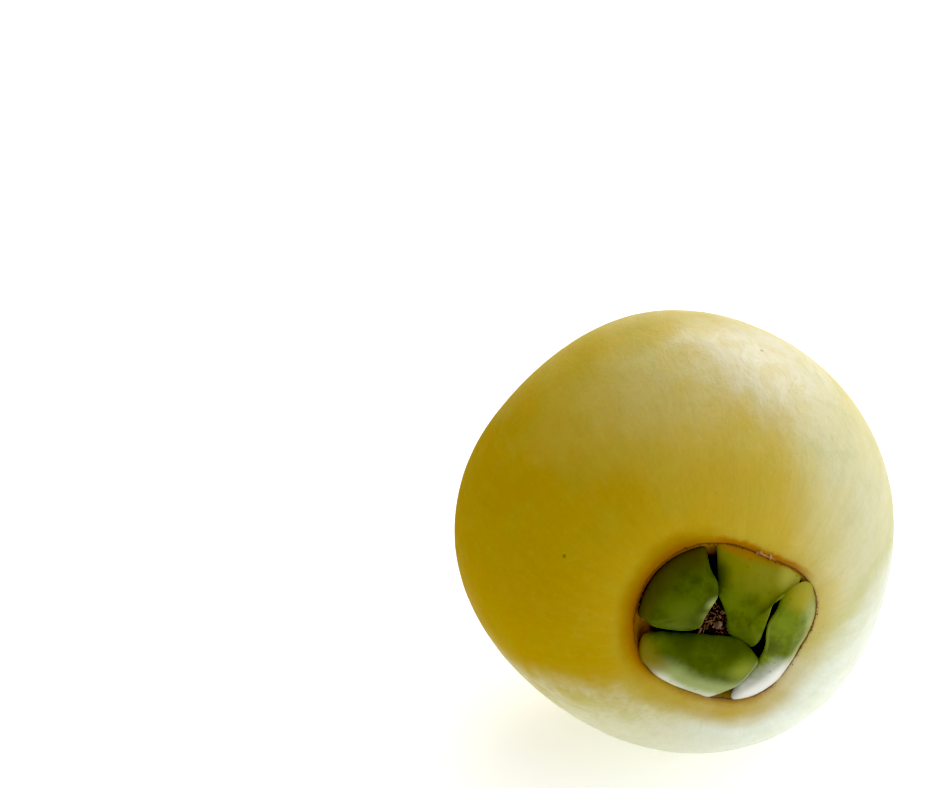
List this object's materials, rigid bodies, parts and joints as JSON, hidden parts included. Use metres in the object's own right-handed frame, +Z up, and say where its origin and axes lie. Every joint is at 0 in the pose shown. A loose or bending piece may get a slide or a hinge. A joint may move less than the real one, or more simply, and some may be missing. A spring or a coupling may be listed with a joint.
{
  "type": "rose apple",
  "caption": "Round pale yellow rose apple lying on its side, with four thick green sepals curled over a pit at its flower end and a short cut stalk.",
  "frame": {"origin": "the point of the flat resting spot straight below the middle of the fruit", "axes": "+Z up from the surface it lies on; +Y along the fruit from the flower end to the stalk; +X to the right seen from the flower end"},
  "size_m": [0.0458, 0.0557, 0.0455],
  "materials": {
    "skin": "waxy pale golden yellow fruit skin, soft gloss",
    "sepal": "thick olive green sepal, soft gloss, paler at its margin",
    "dried_style": "withered dark brown, matte",
    "stalk_bark": "brown stalk with a dry cut end, matte"
  },
  "bodies": {
    "root": {"fruit": "skin", "sepal_left": "sepal", "sepal_upper": "sepal", "sepal_right": "sepal", "sepal_lower": "sepal", "style": "dried_style", "stalk": "stalk_bark"}
  },
  "joints": []
}
